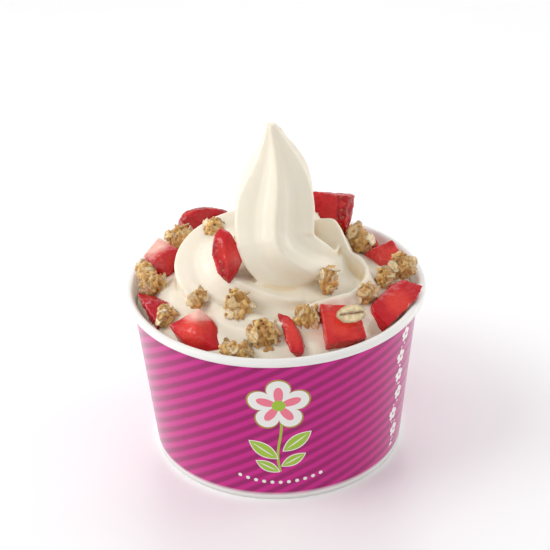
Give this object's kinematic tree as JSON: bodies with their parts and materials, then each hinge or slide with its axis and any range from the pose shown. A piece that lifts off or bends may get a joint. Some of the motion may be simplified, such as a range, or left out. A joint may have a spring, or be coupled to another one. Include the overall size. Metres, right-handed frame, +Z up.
{
  "type": "frozen yogurt cup",
  "caption": "Paper cup filled with frozen yogurt piped as a tall fluted swirl that curls over at the top, with cut strawberries and clusters of granola pressed in all around it.",
  "frame": {"origin": "On the table, in the middle of the cup's foot", "axes": "+Z up through the swirl. -Y is the front, the side the strawberry slice on the swirl faces. +X is the right hand side seen from the front."},
  "size_m": [0.115, 0.115, 0.1335],
  "materials": {
    "printed_paper": "satin",
    "white_board": "matte",
    "frozen_yogurt": "satin",
    "strawberry": "gloss",
    "granola": "matte"
  },
  "bodies": {
    "root": {"cup_wall": "printed_paper", "cup_base": "white_board", "yogurt": "frozen_yogurt", "strawberry_back_left": "strawberry", "strawberry_left": "strawberry", "strawberry_left_wall": "strawberry", "strawberry_on_swirl": "strawberry", "strawberry_front_left": "strawberry", "strawberry_front": "strawberry", "strawberry_front_right": "strawberry", "strawberry_right": "strawberry", "strawberry_back_right": "strawberry", "strawberry_back": "strawberry", "strawberry_back_wall": "strawberry", "strawberry_behind": "strawberry", "strawberry_behind_left": "strawberry", "granola_back_left": "granola", "granola_behind_slice": "granola", "granola_left_rim": "granola", "granola_left": "granola", "granola_left_front": "granola", "granola_left_flake": "granola", "granola_front_swirl": "granola", "granola_front": "granola", "granola_front_rim": "granola", "granola_front_right": "granola", "granola_in_fold": "granola", "granola_right_small": "granola", "granola_right_inner": "granola", "granola_right": "granola", "granola_back_right": "granola", "granola_behind_peak": "granola", "granola_behind": "granola", "granola_behind_right": "granola", "oat_flake_front_right": "granola"}
  },
  "joints": []
}
